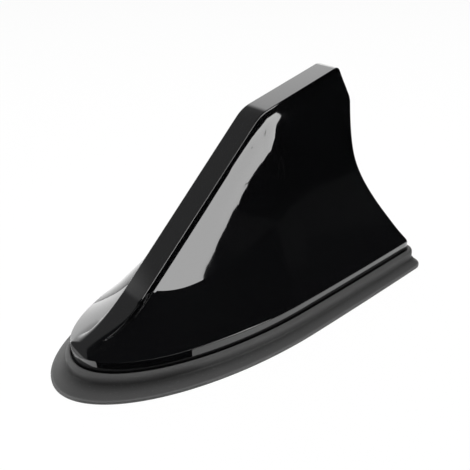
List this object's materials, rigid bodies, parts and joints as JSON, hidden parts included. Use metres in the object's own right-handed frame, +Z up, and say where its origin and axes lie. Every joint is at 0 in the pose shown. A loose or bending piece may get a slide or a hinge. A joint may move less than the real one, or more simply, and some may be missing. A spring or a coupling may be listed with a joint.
{
  "type": "shark fin aerial",
  "caption": "Car roof aerial in the form of a glossy black shark fin on a rubber foot, with its amplifier board, coil and roof plate inside.",
  "frame": {"origin": "centre of the underside, where the foot and its foam pad lie on the car roof", "axes": "+X towards the tail, +Z up from the roof, the fin's plane of symmetry is XZ"},
  "size_m": [0.165, 0.078, 0.0901],
  "materials": {
    "gloss_black": "high gloss moulded, polished",
    "black_rubber": "matt, fine grained",
    "base_plastic": "matt moulded",
    "foam_tape": "closed cell foam",
    "zinc_steel": "zinc plated",
    "board_green": "solder resist over glass laminate",
    "tinplate": "tinned sheet, satin",
    "chip_black": "moulded epoxy",
    "component_tan": "fired ceramic, matt",
    "ferrite": "ground ferrite",
    "brass": "rolled sheet, satin",
    "mast_plastic": "natural moulded",
    "former_plastic": "natural moulded",
    "copper_wire": "enamelled copper wire"
  },
  "bodies": {
    "root": {"fin_cover": "gloss_black", "base_gasket": "black_rubber", "base_plate": "base_plastic", "adhesive_pad": "foam_tape", "cable_grommet": "black_rubber", "cover_screws": "zinc_steel", "circuit_board": "board_green", "board_screws": "zinc_steel", "shield_can": "tinplate", "amplifier_chip": "chip_black", "board_capacitors": "component_tan", "board_inductors": "ferrite", "ground_lug": "brass", "antenna_mast": "mast_plastic", "mast_screws": "zinc_steel", "coil_former": "former_plastic", "antenna_coil": "copper_wire", "coil_terminal": "brass", "roof_plate": "tinplate", "contact_spring": "brass"}
  },
  "joints": []
}
